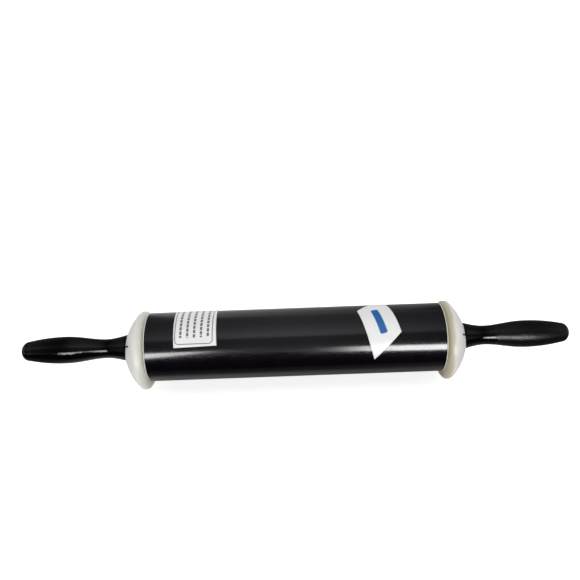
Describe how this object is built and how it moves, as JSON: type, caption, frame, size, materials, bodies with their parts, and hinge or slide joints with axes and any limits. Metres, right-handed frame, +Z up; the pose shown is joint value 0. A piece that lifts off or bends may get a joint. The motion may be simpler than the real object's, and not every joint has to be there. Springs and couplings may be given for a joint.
{
  "type": "adjustable rolling pin",
  "caption": "Rolling pin with a coated barrel spinning on an axle, off-centre gauge discs that turn to set the dough's thickness, and turned grips.",
  "frame": {"origin": "On the worktop, under the middle of the pin, with the gauge discs set for the thickest dough", "axes": "+X along the axle from the left handle to the right one, the front is -Y, +Z up"},
  "size_m": [0.511, 0.0732, 0.0737],
  "materials": {
    "barrel_coating": "black semi-gloss non-stick coating on an aluminium tube",
    "label_paper": "satin white sticker",
    "plug_plastic": "off-white moulded nylon",
    "bush_bronze": "sintered bronze",
    "axle_steel": "bright drawn steel",
    "spring_steel": "dark spring steel",
    "handle_plastic": "polished black phenolic plastic",
    "disc_plastic": "milky off-white moulded acetal",
    "bar_plastic": "black moulded plastic"
  },
  "bodies": {
    "axle": {"axle_shaft": "axle_steel", "left_handle": "handle_plastic", "right_handle": "handle_plastic", "left_cross_pin": "axle_steel", "right_cross_pin": "axle_steel", "left_stop_pin": "axle_steel", "right_stop_pin": "axle_steel", "left_thrust_washer": "axle_steel", "right_thrust_washer": "axle_steel", "left_retaining_ring": "spring_steel", "right_retaining_ring": "spring_steel", "left_spring_washer": "spring_steel", "right_spring_washer": "spring_steel"},
    "barrel": {"barrel_tube": "barrel_coating", "bordered_label": "label_paper", "slanted_label": "label_paper", "left_end_plug": "plug_plastic", "right_end_plug": "plug_plastic", "left_bearing_bush": "bush_bronze", "right_bearing_bush": "bush_bronze"},
    "left_gauge": {"left_gauge_disc": "disc_plastic", "left_index_bar": "bar_plastic"},
    "right_gauge": {"right_gauge_disc": "disc_plastic", "right_index_bar": "bar_plastic"}
  },
  "joints": [
    {"name": "barrel_spin", "type": "hinge", "parent": "axle", "child": "barrel", "pos_m": [0, 0, 0.04164], "axis": [1, 0, 0], "continuous": true},
    {"name": "left_gauge_turn", "type": "hinge", "parent": "axle", "child": "left_gauge", "pos_m": [-0.145, 0, 0.04164], "axis": [1, 0, 0], "range_deg": [0, 180]},
    {"name": "right_gauge_turn", "type": "hinge", "parent": "axle", "child": "right_gauge", "pos_m": [0.145, 0, 0.04164], "axis": [1, 0, 0], "range_deg": [0, 180]}
  ]
}
